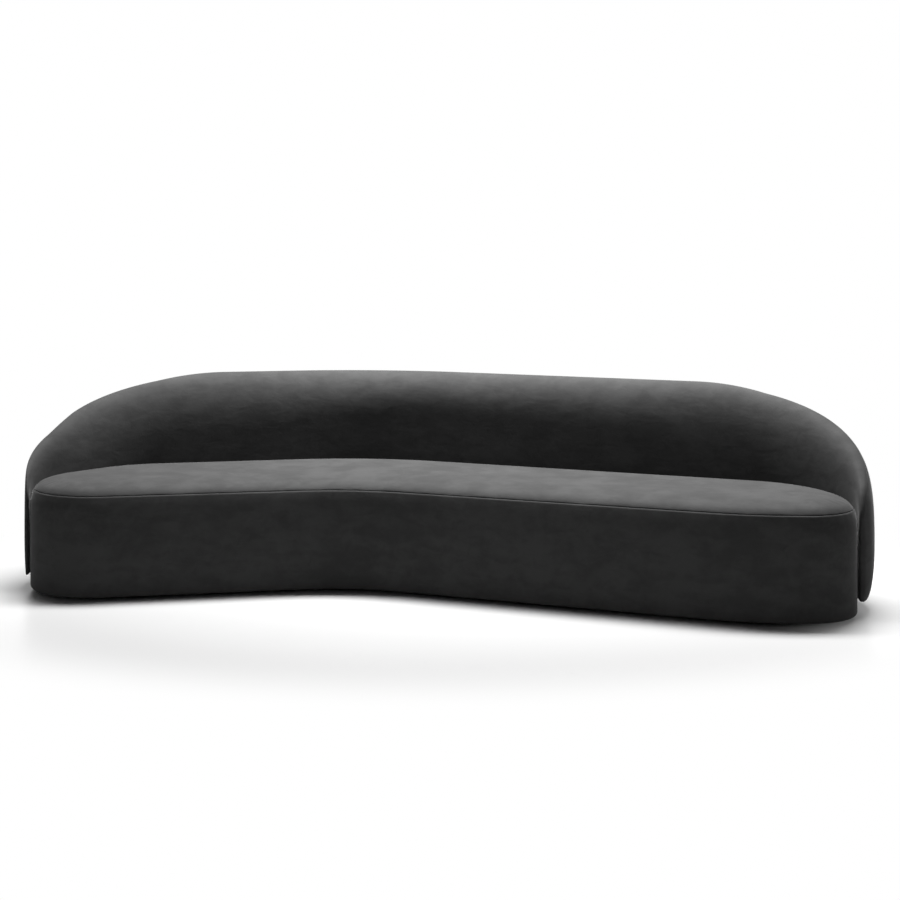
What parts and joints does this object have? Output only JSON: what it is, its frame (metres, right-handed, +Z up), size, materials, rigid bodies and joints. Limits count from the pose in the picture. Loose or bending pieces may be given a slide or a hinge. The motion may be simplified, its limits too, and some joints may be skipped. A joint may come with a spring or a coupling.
{
  "type": "curved sofa",
  "caption": "Low boomerang-shaped sofa: one bent seat block on hidden feet, wrapped from behind by a padded back that thins to ridges at both ends.",
  "frame": {"origin": "on the floor, at the centre of the sofa's bounding box in plan", "axes": "+X to the right as seen from in front, towards the longer arm; the front faces -Y; +Z is up"},
  "size_m": [3.1478, 1.3838, 0.7568],
  "materials": {
    "velvet": "near-black charcoal velvet, short cut pile with a soft sheen",
    "foam": "cream upholstery foam, open cells",
    "wadding": "white polyester wadding",
    "plywood": "unfinished birch plywood, sanded",
    "webbing": "woven elastic webbing, dark grey",
    "cambric": "black non-woven dust cloth",
    "zinc_steel": "bright zinc-plated steel",
    "nylon": "black moulded nylon"
  },
  "bodies": {
    "root": {"seat_band_cover": "velvet", "seat_top_cover": "velvet", "back_inner_cover": "velvet", "back_outer_cover": "velvet", "seat_foam": "foam", "front_band_foam": "foam", "back_band_foam": "foam", "back_inner_foam": "foam", "back_crest_foam": "foam", "back_outer_wadding": "wadding", "base_board": "plywood", "front_apron": "plywood", "back_apron": "plywood", "front_top_rail": "plywood", "back_top_rail": "plywood", "back_inner_panel": "plywood", "back_outer_panel": "plywood", "shell_foot_rail": "plywood", "shell_top_rail": "plywood", "seat_rib_1": "plywood", "seat_rib_2": "plywood", "seat_rib_3": "plywood", "seat_rib_4": "plywood", "seat_rib_5": "plywood", "seat_rib_6": "plywood", "seat_rib_7": "plywood", "seat_rib_8": "plywood", "back_rib_1": "plywood", "back_rib_2": "plywood", "back_rib_3": "plywood", "back_rib_4": "plywood", "back_rib_5": "plywood", "back_rib_6": "plywood", "back_rib_7": "plywood", "back_rib_8": "plywood", "webbing_1": "webbing", "webbing_2": "webbing", "webbing_3": "webbing", "webbing_4": "webbing", "webbing_5": "webbing", "webbing_6": "webbing", "webbing_7": "webbing", "webbing_8": "webbing", "webbing_9": "webbing", "dust_cover": "cambric", "shell_bolt_1": "zinc_steel", "shell_bolt_2": "zinc_steel", "shell_bolt_3": "zinc_steel", "shell_bolt_4": "zinc_steel", "shell_bolt_5": "zinc_steel", "shell_bolt_6": "zinc_steel", "glide_1": "nylon", "glide_2": "nylon", "glide_3": "nylon", "glide_4": "nylon", "glide_5": "nylon", "glide_6": "nylon", "glide_7": "nylon", "glide_8": "nylon"}
  },
  "joints": []
}
